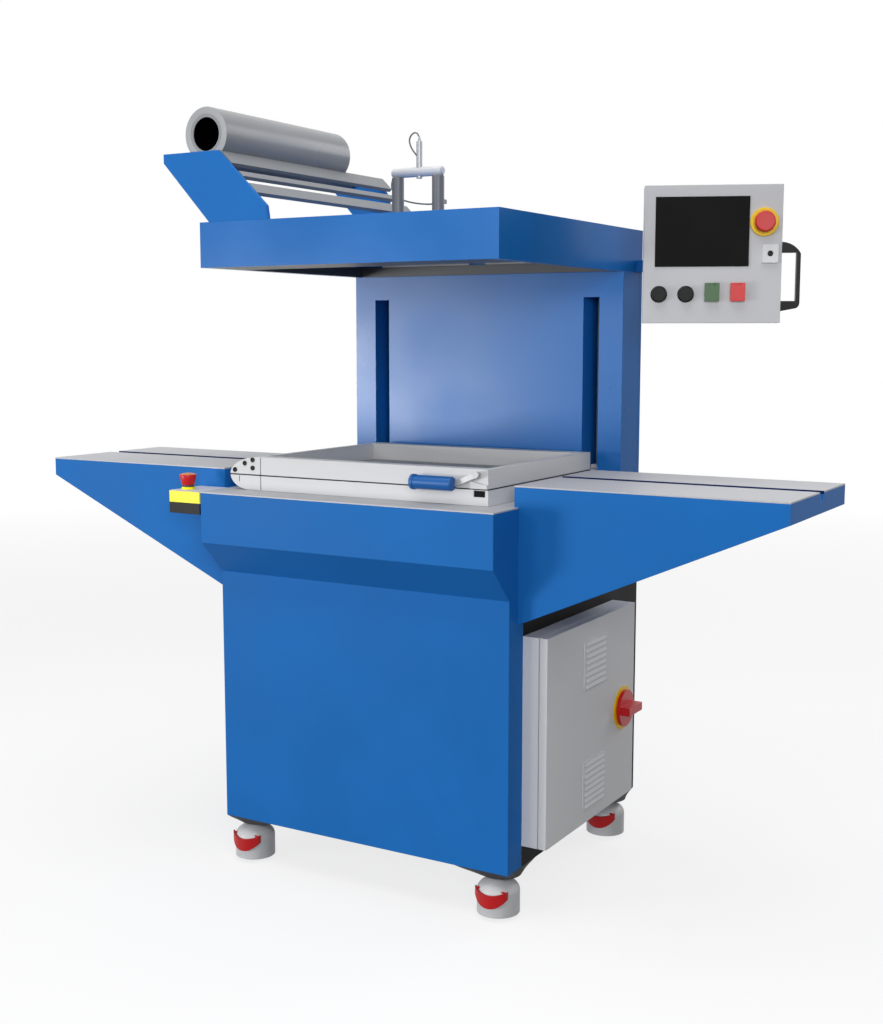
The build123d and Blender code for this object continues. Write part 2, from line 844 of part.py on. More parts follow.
def make_panel():
    """The control panel, what is on its face, and the arm that carries it."""
    half = panel_size / 2
    box = panel_block(-half, half, -panel_box_depth, 0, -half, half)
    neck_z = arm_bottom + arm_height + knuckle_gap
    neck_low = neck_z - panel_centre_z
    neck = panel_block(
        -knuckle_radius, knuckle_radius, -panel_radius, -panel_box_depth, neck_low, neck_low + neck_height
    )
    pivot = (arm_pivot_x, arm_pivot_y, neck_z)
    knuckle = rod(pivot, (0, 0, 1), knuckle_radius, neck_height)
    pin_bore = rod(pivot, (0, 0, 1), pivot_pin_radius + running_clearance, neck_height)
    carrier = box + neck + knuckle - pin_bore

    arm = block(
        half_body,
        arm_pivot_x,
        arm_pivot_y - arm_depth / 2,
        arm_pivot_y + arm_depth / 2,
        arm_bottom,
        arm_bottom + arm_height,
    )
    eye = rod((arm_pivot_x, arm_pivot_y, arm_bottom), (0, 0, 1), knuckle_radius, arm_height)
    pin = rod((arm_pivot_x, arm_pivot_y, arm_bottom), (0, 0, 1), pivot_pin_radius, arm_height + neck_height)
    pieces["panel_arm"] = arm + eye + pin

    left = -half + screen_left
    top = half - screen_drop
    bottom = top - screen_height
    pieces["panel_screen"] = panel_block(left, left + screen_width, 0, screen_proud, bottom, top)

    stop_across = panel_stop_x - half
    stop_up = half - panel_stop_drop
    ring = panel_disc(stop_across, stop_up, stop_ring_radius, 0, stop_ring_height)
    eye = panel_disc(stop_across, stop_up, panel_stop_stem + button_gap, 0, stop_ring_height)
    pieces["panel_stop_ring"] = ring - eye
    head_low = stop_ring_height + button_travel + button_gap
    head = panel_disc(stop_across, stop_up, panel_stop_radius, head_low, panel_stop_height)
    head = fillet(head.edges().filter_by(GeomType.CIRCLE), button_rounding)
    head += panel_disc(stop_across, stop_up, panel_stop_stem, button_root, button_head)
    carrier -= panel_button("panel_stop_button", stop_across, stop_up, panel_stop_stem, head)

    port_across = port_x - half
    port_up = half - port_drop
    plate = panel_block(
        port_across - port_width / 2,
        port_across + port_width / 2,
        0,
        port_proud,
        port_up - port_height / 2,
        port_up + port_height / 2,
    )
    hole = panel_disc(port_across, port_up, port_hole_radius, port_proud - port_hole_depth, port_proud)
    pieces["panel_port"] = plate - hole

    head_low = button_gap + button_travel
    row_up = half - button_row_drop
    for name, across in (("round_button_left", left_button_x), ("round_button_right", right_button_x)):
        place = across - half
        cap = panel_disc(place, row_up, round_button_radius, head_low, button_head)
        carrier -= panel_button(name, place, row_up, round_button_stem, cap)
    for name, across in (("start_button", start_key_x), ("stop_button", stop_key_x)):
        low = across - half
        middle = low + key_width / 2
        base = half - key_row_drop
        key_top = base + key_height
        key = panel_block(low, low + key_width, head_low, button_head, base, key_top)
        notch = panel_block(
            middle - key_notch_width / 2,
            middle + key_notch_width / 2,
            button_root,
            button_head,
            key_top - key_notch_height,
            key_top,
        )
        carrier -= panel_button(name, middle, base + key_height / 2, key_stem, key - notch)
    pieces["panel_box"] = carrier


def make_vent(z):
    """A vent cover on the door: a thin plate with a row of louvres that open downwards."""
    y0 = cabinet_y + cabinet_length - vent_inset - vent_width
    vent = block(door_face_x, door_face_x + vent_proud, y0, y0 + vent_width, z, z + vent_height)
    x0 = door_face_x + vent_proud
    pitch = vent_height / louvre_count
    side = (vent_width - louvre_length) / 2
    for index in range(louvre_count):
        low = z + (index + 0.5) * pitch - louvre_height / 2
        outline = [(x0, low), (x0 + louvre_proud, low), (x0, low + louvre_height)]
        vent += plate_xz(outline, y0 + side, y0 + side + louvre_length)
    return vent


def make_cabinet():
    """The flat electrical cabinet on the right side, its door and its main switch."""
    y0 = cabinet_y
    y1 = cabinet_y + cabinet_length
    z0 = cabinet_bottom
    z1 = cabinet_top
    box = block(half_body, half_body + cabinet_depth, y0, y1, z0, z1)
    seal = block(
        half_body + cabinet_depth,
        door_x - rest_clearance,
        y0 + seal_inset,
        y1 - seal_inset,
        z0 + seal_inset,
        z1 - seal_inset,
    )
    pieces["cabinet_box"] = box + seal
    door = block(door_x, door_face_x, y0, y1, z0, z1)
    for z in (z0 + vent_edge_gap, z1 - vent_upper_drop - vent_height):
        door += make_vent(z)
    pieces["cabinet_door"] = door
    centre = (door_face_x, switch_y, switch_z)
    pieces["switch_plate"] = rod(centre, (1, 0, 0), switch_plate_radius, switch_plate_thickness)
    disc_x = door_face_x + switch_plate_thickness + running_clearance
    disc = rod((disc_x, switch_y, switch_z), (1, 0, 0), switch_disc_radius, switch_disc_thickness)
    bar = block(
        disc_x + switch_disc_thickness,
        disc_x + switch_disc_thickness + switch_bar_height,
        switch_y - switch_bar_length / 2,
        switch_y + switch_bar_length / 2,
        switch_z - switch_bar_width / 2,
        switch_z + switch_bar_width / 2,
    )
    pieces["switch_handle"] = disc + bar


def make_stop_box():
    """The stop box on the left side table, with its mushroom button on top."""
    x1 = -half_body - stop_box_gap
    x0 = x1 - stop_box_width
    y0 = console_y
    y1 = table_y
    z1 = deck_height - stop_box_drop
    z0 = z1 - stop_box_height
    z_split = z1 - stop_cover_height
    pieces["stop_box_base"] = block(x0, x1, y0, y1, z0, z_split)
    cover = block(x0, x1, y0, y1, z_split, z1)
    x = x1 - stop_button_inset
    y = y0 + stop_button_setback
    collar = rod((x, y, z1), (0, 0, 1), stop_button_neck_radius - stop_collar_step, stop_collar_height)
    bore_depth = stop_bore_depth + stop_collar_height
    bore = rod((x, y, z1 - stop_bore_depth), (0, 0, 1), stop_stem_radius + running_clearance, bore_depth)
    pieces["stop_box_cover"] = cover + collar - bore
    base_z = z1 + stop_collar_height + button_travel + button_gap
    top_z = z1 + stop_button_height
    stem = rod((x, y, z1 - stop_stem_depth), (0, 0, 1), stop_stem_radius, base_z - z1 + stop_stem_depth)
    head = Pos(x, y, (base_z + top_z) / 2) * Cone(
        stop_button_neck_radius, stop_button_top_radius, top_z - base_z
    )
    head = fillet(head.edges().filter_by(GeomType.CIRCLE).sort_by(Axis.Z)[-1], stop_head_rounding)
    pieces["stop_box_button"] = stem + head


def make_dome(radius, top):
    """A solid drum with a domed top, as high as the caster's hood."""
    sides = Polyline([(0, caster_rim), (radius, caster_rim), (radius, caster_shoulder)])
    rise = top - caster_shoulder
    dome = EllipticalCenterArc((0, caster_shoulder), radius, rise, start_angle=0, arc_size=90)
    axis = Line(dome @ 1, (0, caster_rim))
    return revolve(Plane.XZ * make_face(Curve() + [sides, dome, axis]), Axis.Z)


def make_wheels():
    """Twin wheels on one hub, turned about the axle."""
    half_width = wheel_gap / 2 + wheel_width
    centre = (-half_width, 0, wheel_radius)
    wheel = rod(centre, (1, 0, 0), wheel_radius, 2 * half_width)
    wheel = fillet(wheel.edges().filter_by(GeomType.CIRCLE), wheel_rounding)
    middle = (-wheel_gap / 2, 0, wheel_radius)
    groove = rod(middle, (1, 0, 0), wheel_radius, wheel_gap) - rod(
        middle, (1, 0, 0), wheel_radius * wheel_hub_share, wheel_gap
    )
    return wheel - groove - rod(centre, (1, 0, 0), axle_radius + running_clearance, 2 * half_width)


def make_pedal():
    """The brake pedal: a crescent cut from a ring round the hood, with a pin at each end."""
    inner = hood_radius + pedal_gap
    outer = inner + pedal_thickness
    height = pedal_top - pedal_bottom
    ring = rod((0, 0, pedal_bottom), (0, 0, 1), outer, height)
    ring = ring - rod((0, 0, pedal_bottom), (0, 0, 1), inner, height)
    reach = outer * sin(radians(pedal_half_angle))
    shoulder = pedal_top - pedal_shoulder
    edges = [
        ThreePointArc((-reach, pedal_top), (0, pedal_top - pedal_dip), (reach, pedal_top)),
        Line((reach, pedal_top), (reach, shoulder)),
        ThreePointArc((reach, shoulder), (0, pedal_bottom), (-reach, shoulder)),
        Line((-reach, shoulder), (-reach, pedal_top)),
    ]
    pedal = ring & extrude(Plane.XZ * make_face(Curve() + edges), amount=outer)
    pin_y = -(inner + pedal_thickness / 2) * cos(radians(pedal_half_angle))
    pin_z = pedal_top - pedal_pin_radius - pedal_pin_edge
    bores = Part()
    for side in (-1, 1):
        end = (side * (reach - pedal_thickness), pin_y, pin_z)
        pedal += rod(end, (-side, 0, 0), pedal_pin_radius, pedal_pin_length)
        bores += rod(end, (-side, 0, 0), pedal_pin_radius + running_clearance, pedal_pin_length + pedal_gap)
    return pedal, bores


def make_caster():
    """One hooded caster: a round hood on a swivel race, twin wheels and a brake pedal."""
    outer = make_dome(hood_radius, caster_top - dome_gap)
    inner = make_dome(hood_radius - caster_wall, caster_top - dome_gap - caster_wall)
    axle = rod((-hood_radius, 0, wheel_radius), (1, 0, 0), axle_radius, 2 * hood_radius)
    race = rod((0, caster_trail, caster_top - race_height), (0, 0, 1), race_radius, race_height)
    pedal, bores = make_pedal()
    hood = outer - inner + race + (axle & outer) - bores
    return hood, make_wheels(), pedal


def make_casters():
    """Four casters under trapezoid brackets."""
    brackets = Part()
    front = front_y + caster_front_inset
    rear = rear_y - caster_rear_inset
    places = {
        "front_left": (-caster_x, front),
        "front_right": (caster_x, front),
        "rear_left": (-caster_x, rear),
        "rear_right": (caster_x, rear),
    }
    hood, wheels, pedal = make_caster()
    for name, (x, y) in places.items():
        pieces["caster_hood_" + name] = Pos(x, y, 0) * hood
        pieces["caster_wheels_" + name] = Pos(x, y, 0) * wheels
        pieces["caster_pedal_" + name] = Pos(x, y, 0) * pedal
        stem_y = y + caster_trail
        foot = Plane((x, stem_y, caster_top + rest_clearance)) * Circle(bracket_foot_radius)
        top = Plane((x, stem_y, floor_gap)) * Rectangle(bracket_width, bracket_depth)
        brackets += loft([foot, top])
    pieces["caster_brackets"] = brackets


make_body()
make_tables()
make_wall()
make_hood()
make_film_frame()
make_vacuum_table()
make_cradle()
make_yoke()
make_hose()
make_handle()
make_panel()
make_cabinet()
make_stop_box()
make_casters()

os.makedirs("parts", exist_ok=True)
for name, shape in pieces.items():
    export_step(shape, "parts/" + name + ".step")
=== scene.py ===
import json
import math
import bpy
import numpy as np
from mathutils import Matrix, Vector


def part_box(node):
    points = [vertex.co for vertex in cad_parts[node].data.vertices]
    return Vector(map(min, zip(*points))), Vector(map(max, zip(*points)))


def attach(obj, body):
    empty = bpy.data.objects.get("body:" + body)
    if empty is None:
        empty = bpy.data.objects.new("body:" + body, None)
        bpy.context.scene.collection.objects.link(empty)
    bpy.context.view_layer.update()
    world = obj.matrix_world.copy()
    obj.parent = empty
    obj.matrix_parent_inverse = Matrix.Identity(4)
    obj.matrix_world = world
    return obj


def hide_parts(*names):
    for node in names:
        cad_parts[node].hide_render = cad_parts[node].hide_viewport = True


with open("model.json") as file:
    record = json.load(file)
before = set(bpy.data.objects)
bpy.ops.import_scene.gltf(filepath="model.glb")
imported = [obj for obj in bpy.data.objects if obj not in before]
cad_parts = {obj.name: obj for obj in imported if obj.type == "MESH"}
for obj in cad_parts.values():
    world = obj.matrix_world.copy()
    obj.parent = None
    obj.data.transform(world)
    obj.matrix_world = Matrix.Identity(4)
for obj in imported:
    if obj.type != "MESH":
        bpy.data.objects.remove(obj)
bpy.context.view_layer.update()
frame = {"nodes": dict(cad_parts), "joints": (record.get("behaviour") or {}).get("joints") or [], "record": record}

nodes = frame["nodes"]
mm = 0.001
print("frame loaded:", len(nodes), "nodes")

# The camera stands to the right of the machine's front, at about head height
camera = {
    "place": (1.6135, -2.6796, 1.196),
    "yaw": 30.5,
    "pitch": -7.285,
    "lens": 48.65,
    "sensor": 36.0,
    "reach": 60.0,
}


def makeCamera():
    data = bpy.data.cameras.new("viewCamera")
    data.lens = camera["lens"]
    data.sensor_width = camera["sensor"]
    data.clip_end = camera["reach"]
    thing = bpy.data.objects.new("viewCamera", data)
    bpy.context.scene.collection.objects.link(thing)
    thing.location = camera["place"]
    thing.rotation_euler = (math.radians(90 + camera["pitch"]), 0, math.radians(camera["yaw"]))
    bpy.context.scene.camera = thing


makeCamera()
print("camera set")

# Colours as they read in daylight, written as hex
colours = {
    "bluePaint": "1b68b3",
    "blackPaintAndShade": "050506",
    "greyPaint": "bbbcc0",
    "cabinetGrey": "dadbde",
    "flangeGrey": "58595b",
    "steelTop": "b4b5b9",
    "frameAluminium": "cccdcf",
    "turnedSteel": "a3a5a8",
    "postShadeGrey": "6b6c6e",
    "barLitGrey": "c3c4c7",
    "railGrey": "86888b",
    "grooveShadeNavy": "002254",
    "vacuumPlate": "97999c",
    "heaterGlaze": "c9c4b8",
    "filmGrey": "86888b",
    "filmEdge": "a6a8ab",
    "coreGrey": "8b8d90",
    "coreBoreShade": "050505",
    "blackPlastic": "070707",
    "screenGlass": "020202",
    "redPlastic": "c4161c",
    "pedalRed": "b00f15",
    "greenPlastic": "2b5428",
    "yellowPlastic": "e8bf00",
    "yellowCover": "fff200",
    "gripBlue": "15579b",
    "hoodGrey": "c6c7ca",
    "tyreBlack": "141414",
    "hoseGrey": "6d6e71",
    "bracketGrey": "3c3c3e",
    "portGrey": "d0d1d3",
    "orangeCap": "c9772b",
    "neckGrey": "414042",
    "seamDark": "3a3b3d",
}


def linear(name):
    # sRGB hex to linear: ((c + 0.055) / 1.055) ** 2.4 above the toe
    text = colours[name]
    values = [int(text[i:i + 2], 16) / 255 for i in (0, 2, 4)]
    return tuple(v / 12.92 if v <= 0.04045 else ((v + 0.055) / 1.055) ** 2.4 for v in values) + (1.0,)


# Shader groups shared by the materials
def socket(group, name, kind, into, default=None):
    made = group.interface.new_socket(name=name, in_out="INPUT" if into else "OUTPUT", socket_type=kind)
    if default is not None:
        made.default_value = default
    return made


def makeSprayGroup():
    # Powder coat: two sizes of noise give a pebbled height and a slow drift of tone
    group = bpy.data.node_groups.new("sprayedSurface", "ShaderNodeTree")
    socket(group, "Place", "NodeSocketVector", True)
    socket(group, "Grain", "NodeSocketFloat", True, 900.0)
    socket(group, "Height", "NodeSocketFloat", False)
    socket(group, "Tone", "NodeSocketFloat", False)
    tree, links = group.nodes, group.links
    entry, leave = tree.new("NodeGroupInput"), tree.new("NodeGroupOutput")
    fine = tree.new("ShaderNodeTexNoise")
    fine.inputs["Detail"].default_value = 2.0
    fine.inputs["Roughness"].default_value = 0.45
    broad = tree.new("ShaderNodeTexNoise")
    broad.inputs["Scale"].default_value = 3.5
    broad.inputs["Detail"].default_value = 3.0
    links.new(entry.outputs["Place"], fine.inputs["Vector"])
    links.new(entry.outputs["Grain"], fine.inputs["Scale"])
    links.new(entry.outputs["Place"], broad.inputs["Vector"])
    links.new(fine.outputs["Fac"], leave.inputs["Height"])
    links.new(broad.outputs["Fac"], leave.inputs["Tone"])
    return group


def makeBrushGroup():
    # Brushed metal: noise stretched a hundred times along one direction
    group = bpy.data.node_groups.new("brushedSurface", "ShaderNodeTree")
    socket(group, "Place", "NodeSocketVector", True)
    socket(group, "Stretch", "NodeSocketVector", True, (4.0, 900.0, 900.0))
    socket(group, "Height", "NodeSocketFloat", False)
    socket(group, "Tone", "NodeSocketFloat", False)
    tree, links = group.nodes, group.links
    entry, leave = tree.new("NodeGroupInput"), tree.new("NodeGroupOutput")
    drawn = tree.new("ShaderNodeVectorMath")
    drawn.operation = "MULTIPLY"
    lines = tree.new("ShaderNodeTexNoise")
    lines.inputs["Scale"].default_value = 1.0
    lines.inputs["Detail"].default_value = 3.0
    cloud = tree.new("ShaderNodeTexNoise")
    cloud.inputs["Scale"].default_value = 5.0
    links.new(entry.outputs["Place"], drawn.inputs[0])
    links.new(entry.outputs["Stretch"], drawn.inputs[1])
    links.new(drawn.outputs["Vector"], lines.inputs["Vector"])
    links.new(entry.outputs["Place"], cloud.inputs["Vector"])
    blend = tree.new("ShaderNodeMath")
    blend.operation = "MULTIPLY_ADD"
    blend.inputs[1].default_value = 0.5
    links.new(lines.outputs["Fac"], blend.inputs[0])
    half = tree.new("ShaderNodeMath")
    half.operation = "MULTIPLY"
    half.inputs[1].default_value = 0.5
    links.new(cloud.outputs["Fac"], half.inputs[0])
    links.new(half.outputs["Value"], blend.inputs[2])
    links.new(lines.outputs["Fac"], leave.inputs["Height"])
    links.new(blend.outputs["Value"], leave.inputs["Tone"])
    return group


def makeEdgeGroup():
    # A folded or cut edge: how far the rounded normal leaves the flat one
    group = bpy.data.node_groups.new("softEdges", "ShaderNodeTree")
    socket(group, "Radius", "NodeSocketFloat", True, 0.0015)
    socket(group, "Normal", "NodeSocketVector", False)
    socket(group, "Edge", "NodeSocketFloat", False)
    tree, links = group.nodes, group.links
    entry, leave = tree.new("NodeGroupInput"), tree.new("NodeGroupOutput")
    bevel = tree.new("ShaderNodeBevel")
    bevel.samples = 4
    flat = tree.new("ShaderNodeNewGeometry")
    dot = tree.new("ShaderNodeVectorMath")
    dot.operation = "DOT_PRODUCT"
    away = tree.new("ShaderNodeMapRange")
    away.inputs["From Min"].default_value = 1.0
    away.inputs["From Max"].default_value = 0.75
    links.new(entry.outputs["Radius"], bevel.inputs["Radius"])
    links.new(bevel.outputs["Normal"], dot.inputs[0])
    links.new(flat.outputs["True Normal"], dot.inputs[1])
    links.new(dot.outputs["Value"], away.inputs["Value"])
    links.new(bevel.outputs["Normal"], leave.inputs["Normal"])
    links.new(away.outputs["Result"], leave.inputs["Edge"])
    return group


sprayGroup = makeSprayGroup()
brushGroup = makeBrushGroup()
edgeGroup = makeEdgeGroup()


def startMaterial(name):
    material = bpy.data.materials.new(name)
    material.use_nodes = True
    tree = material.node_tree
    shader = tree.nodes["Principled BSDF"]
    place = tree.nodes.new("ShaderNodeTexCoord")
    return material, tree, shader, place.outputs["Object"]


def useGroup(tree, group, **values):
    node = tree.nodes.new("ShaderNodeGroup")
    node.node_tree = group
    for name, value in values.items():
        node.inputs[name].default_value = value
    return node


def mixColour(tree, factor, first, second):
    node = tree.nodes.new("ShaderNodeMix")
    node.data_type = "RGBA"
    node.inputs["A"].default_value = first
    node.inputs["B"].default_value = second
    tree.links.new(factor, node.inputs["Factor"])
    return node.outputs["Result"]


def mapValue(tree, value, low, high, start=0.3, stop=0.7):
    node = tree.nodes.new("ShaderNodeMapRange")
    node.inputs["From Min"].default_value = start
    node.inputs["From Max"].default_value = stop
    node.inputs["To Min"].default_value = low
    node.inputs["To Max"].default_value = high
    tree.links.new(value, node.inputs["Value"])
    return node.outputs["Result"]


def addBump(tree, height, normal, strength, distance):
    bump = tree.nodes.new("ShaderNodeBump")
    bump.inputs["Strength"].default_value = strength
    bump.inputs["Distance"].default_value = distance
    tree.links.new(height, bump.inputs["Height"])
    if normal is not None:
        tree.links.new(normal, bump.inputs["Normal"])
    return bump.outputs["Normal"]


def scaled(colour, amount):
    return tuple(min(1.0, c * amount) for c in colour[:3]) + (1.0,)


# How far a finish strays in roughness, and the strength and depth in metres of its bumps
sprayLook = {"stray": 0.05, "bump": 0.12, "depth": 0.0003, "rubbed": 0.6}
brushLook = {"stray": 0.06, "bump": 0.08, "depth": 0.0002, "edge": 0.001}
# Where a face starts and stops to count as a front, by its normal's Y
frontRange = (-0.9, -0.5)
finishes = {}


def shineFronts(tree, shader, shine, front):
    # The lacquer on faces that look to -Y is polished, the others stay dull
    side = tree.nodes.new("ShaderNodeTexCoord")
    part = tree.nodes.new("ShaderNodeSeparateXYZ")
    tree.links.new(side.outputs["Normal"], part.inputs["Vector"])
    level = mapValue(tree, part.outputs["Y"], front, shine, *frontRange)
    tree.links.new(level, shader.inputs["Specular IOR Level"])


def sprayed(name, colour, rough=0.42, grain=900.0, drift=0.07, wear=1.25, shine=0.3, edge=0.0014, front=None):
    # Powder coat or moulded plastic: pebbled height, slow drift of tone, paler rubbed edges
    material, tree, shader, place = startMaterial(name)
    spray = useGroup(tree, sprayGroup, Grain=grain)
    tree.links.new(place, spray.inputs["Place"])
    soft = useGroup(tree, edgeGroup, Radius=edge)
    base = linear(colour)
    tone = mapValue(tree, spray.outputs["Tone"], 0, 1)
    body = mixColour(tree, tone, scaled(base, 1 - drift), scaled(base, 1 + drift))
    worn = tree.nodes.new("ShaderNodeMix")
    worn.data_type = "RGBA"
    tree.links.new(mapValue(tree, soft.outputs["Edge"], 0, sprayLook["rubbed"], 0, 1), worn.inputs["Factor"])
    tree.links.new(body, worn.inputs["A"])
    worn.inputs["B"].default_value = scaled(base, wear)
    tree.links.new(worn.outputs["Result"], shader.inputs["Base Color"])
    look = sprayLook
    uneven = mapValue(tree, spray.outputs["Tone"], rough - look["stray"], rough + look["stray"])
    tree.links.new(uneven, shader.inputs["Roughness"])
    normal = addBump(tree, spray.outputs["Height"], soft.outputs["Normal"], look["bump"], look["depth"])
    tree.links.new(normal, shader.inputs["Normal"])
    shader.inputs["Specular IOR Level"].default_value = shine
    if front is not None:
        shineFronts(tree, shader, shine, front)
    finishes[name] = material


def brushed(name, colour, stretch, rough=0.4, metal=0.55, drift=0.05, shine=0.4):
    # Drawn or rolled metal: fine lines along one direction
    material, tree, shader, place = startMaterial(name)
    lines = useGroup(tree, brushGroup, Stretch=stretch)
    tree.links.new(place, lines.inputs["Place"])
    soft = useGroup(tree, edgeGroup, Radius=brushLook["edge"])
    base = linear(colour)
    tone = mapValue(tree, lines.outputs["Tone"], 0, 1)
    body = mixColour(tree, tone, scaled(base, 1 - drift), scaled(base, 1 + drift))
    tree.links.new(body, shader.inputs["Base Color"])
    look = brushLook
    uneven = mapValue(tree, lines.outputs["Tone"], rough - look["stray"], rough + look["stray"])
    tree.links.new(uneven, shader.inputs["Roughness"])
    shader.inputs["Metallic"].default_value = metal
    shader.inputs["Specular IOR Level"].default_value = shine
    normal = addBump(tree, lines.outputs["Height"], soft.outputs["Normal"], look["bump"], look["depth"])
    tree.links.new(normal, shader.inputs["Normal"])
    finishes[name] = material


def makeFinishes():
    sprayed("bluePaint", "bluePaint", rough=0.5, shine=0.08)
    sprayed("glossBlue", "bluePaint", rough=0.3, shine=0.05, front=0.35)
    sprayed("hoodBlue", "bluePaint", rough=0.22, shine=0.05, front=0.2)
    # Near-black paint; the same finish also paints the shade inside the keeper's slot
    sprayed("blackPaintAndShade", "blackPaintAndShade", rough=0.6, shine=0.1)
    sprayed("greyPaint", "greyPaint", rough=0.45, grain=1100.0, drift=0.03, wear=1.1)
    sprayed("cabinetGrey", "cabinetGrey", rough=0.5, grain=1100.0, drift=0.03, wear=1.1, shine=0.25)
    sprayed("flangeGrey", "flangeGrey", rough=0.45)
    sprayed("bracketGrey", "bracketGrey", rough=0.6, shine=0.2)
    sprayed("heaterGlaze", "heaterGlaze", rough=0.25, grain=300.0)
    sprayed("blackPlastic", "blackPlastic", rough=0.45, grain=1500.0, wear=2.0, shine=0.15)
    sprayed("redPlastic", "redPlastic", rough=0.35, grain=1500.0, drift=0.03, wear=1.1)
    sprayed("pedalRed", "pedalRed", rough=0.4, grain=1500.0)
    sprayed("greenPlastic", "greenPlastic", rough=0.35, grain=1500.0, drift=0.03)
    sprayed("yellowPlastic", "yellowPlastic", rough=0.4, grain=1500.0, drift=0.03, wear=1.05)
    sprayed("yellowCover", "yellowCover", rough=0.4, grain=1500.0, drift=0.02, wear=1.0)
    sprayed("gripBlue", "gripBlue", rough=0.3, grain=1200.0)
    sprayed("hoodGrey", "hoodGrey", rough=0.38, grain=1300.0, drift=0.03, wear=1.1)
    sprayed("portGrey", "portGrey", rough=0.4, grain=1300.0, drift=0.02, wear=1.05)
    sprayed("tyreBlack", "tyreBlack", rough=0.75, grain=1800.0)
    sprayed("hoseGrey", "hoseGrey", rough=0.45, grain=2500.0)
    sprayed("screenGlass", "screenGlass", rough=0.3, grain=60.0, drift=0.0, wear=1.0, shine=0.03)
    sprayed("filmGrey", "filmGrey", rough=0.3, grain=200.0, drift=0.04, wear=1.15)
    sprayed("filmEdge", "filmEdge", rough=0.5, grain=900.0, drift=0.04, wear=1.0)
    sprayed("coreGrey", "coreGrey", rough=0.7, grain=700.0, drift=0.08)
    # Near-black that paints the shade inside the film core's bore
    sprayed("coreBoreShade", "coreBoreShade", rough=0.9, grain=700.0, drift=0.0, wear=1.0, shine=0.0)
    sprayed("neckGrey", "neckGrey", rough=0.5, grain=1500.0)
    sprayed("orangeCap", "orangeCap", rough=0.35, grain=1500.0, drift=0.03)
    sprayed("seamDark", "seamDark", rough=0.6)
    brushed("steelTop", "steelTop", (4.0, 700.0, 700.0), metal=0.1, rough=0.5, shine=0.2)
    brushed("frameAluminium", "frameAluminium", (3.0, 900.0, 900.0),
            rough=0.5, metal=0.0, drift=0.03, shine=0.2)
    # Lit and shaded copies of the yoke's steel: the posts and gland painted darker, the bar painted lighter
    sprayed("postShadeGrey", "postShadeGrey", rough=0.35, shine=0.3)
    sprayed("barLitGrey", "barLitGrey", rough=0.4, shine=0.3)
    brushed("railGrey", "railGrey", (500.0, 12.0, 500.0), rough=0.5, metal=0.0, drift=0.03, shine=0.15)
    # Navy that paints the shade on the walls of the side tables' grooves
    sprayed("grooveShadeNavy", "grooveShadeNavy", rough=0.6, shine=0.1)
    brushed("turnedSteel", "turnedSteel", (500.0, 500.0, 12.0), rough=0.35, metal=0.35)
    brushed("vacuumPlate", "vacuumPlate", (600.0, 5.0, 600.0), rough=0.5, metal=0.1)


makeFinishes()
print("finishes made:", len(finishes))

nodeFinish = {
    "blue_paint": "bluePaint",
    "dark_paint": "blackPaintAndShade",
    "grey_paint": "greyPaint",
    "steel": "steelTop",
    "frame_steel": "frameAluminium",
    "bare_steel": "turnedSteel",
    "ceramic": "heaterGlaze",
    "film": "filmGrey",
    "core": "coreGrey",
    "black_plastic": "blackPlastic",
    "screen": "screenGlass",
    "red_plastic": "redPlastic",
    "green_plastic": "greenPlastic",
    "yellow_plastic": "yellowPlastic",
    "blue_plastic": "gripBlue",
    "grey_plastic": "hoodGrey",
    "tyre": "tyreBlack",
    "hose": "hoseGrey",
}
specialFinish = {
    "rear_wall": "glossBlue",
    "hood_shell": "hoodBlue",
    "hood_flange": "flangeGrey",
    "cabinet_box": "cabinetGrey",
    "cabinet_door": "cabinetGrey",
    "stop_box_cover": "yellowCover",
    "caster_brackets": "bracketGrey",
    "vacuum_table": "vacuumPlate",
    "panel_port": "portGrey",
    "cradle_rails": "railGrey",
}


def dressNodes():
    slots = {part["node"]: part["material_slot"] for part in frame["record"]["subparts"]}
    for name, thing in nodes.items():
        finish = specialFinish.get(name, nodeFinish[slots[name]])
        if name.startswith("caster_pedal"):
            finish = "pedalRed"
        thing.data.materials.clear()
        thing.data.materials.append(finishes[finish])


dressNodes()
print("nodes dressed")

# Where things are, read from the frame
joints = {joint["name"]: joint for joint in frame["joints"]}
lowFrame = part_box("film_frame")
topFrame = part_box("clamp_frame")
panelPivot = np.array(joints["panel_swivel"]["pos_m"])
panelInward = np.array(joints["left_button_press"]["axis"])
panelAcross = np.array([panelInward[1], -panelInward[0], 0.0])
# Faces that meet at more than this many degrees keep a sharp edge
creaseAngle = 35


def gridFaces(rows, columns, wrap=True):
    # Quads between neighbouring points of a rows by columns grid, rows closed to a ring
    last = rows if wrap else rows - 1
    i, j = np.meshgrid(np.arange(last), np.arange(columns - 1), indexing="ij")
    k = (i + 1) % rows
    here, beside = i * columns + j, k * columns + j
    return np.stack([here, beside, beside + 1, here + 1], -1).reshape(-1, 4)


def addPiece(name, points, faces, finish, body, smooth=True):
    mesh = bpy.data.meshes.new(name)
    mesh.from_pydata(np.asarray(points).reshape(-1, 3).tolist(), [], np.asarray(faces).tolist())
    mesh.validate()
    if smooth:
        mesh.shade_smooth()
        mesh.set_sharp_from_angle(angle=math.radians(creaseAngle))
    mesh.materials.append(finishes[finish])
    thing = bpy.data.objects.new(name, mesh)
    bpy.context.scene.collection.objects.link(thing)
    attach(thing, body)
    return thing


def turnedGrid(profile, centre, axis, steps):
    # point = centre + h * axis + r * (u cos t + v sin t) for each (r, h) of the profile
    axis = np.array(axis, float) / np.linalg.norm(axis)
    side = np.cross(axis, (0.0, 0.0, 1.0) if abs(axis[2]) < 0.9 else (1.0, 0.0, 0.0))
    side /= np.linalg.norm(side)
    other = np.cross(axis, side)
    turn = np.linspace(0, 2 * np.pi, steps, endpoint=False)
    radius, height = np.array(profile, float).T * mm
    ring = np.cos(turn)[:, None] * side + np.sin(turn)[:, None] * other
    return np.array(centre) + height[None, :, None] * axis + radius[None, :, None] * ring[:, None, :]


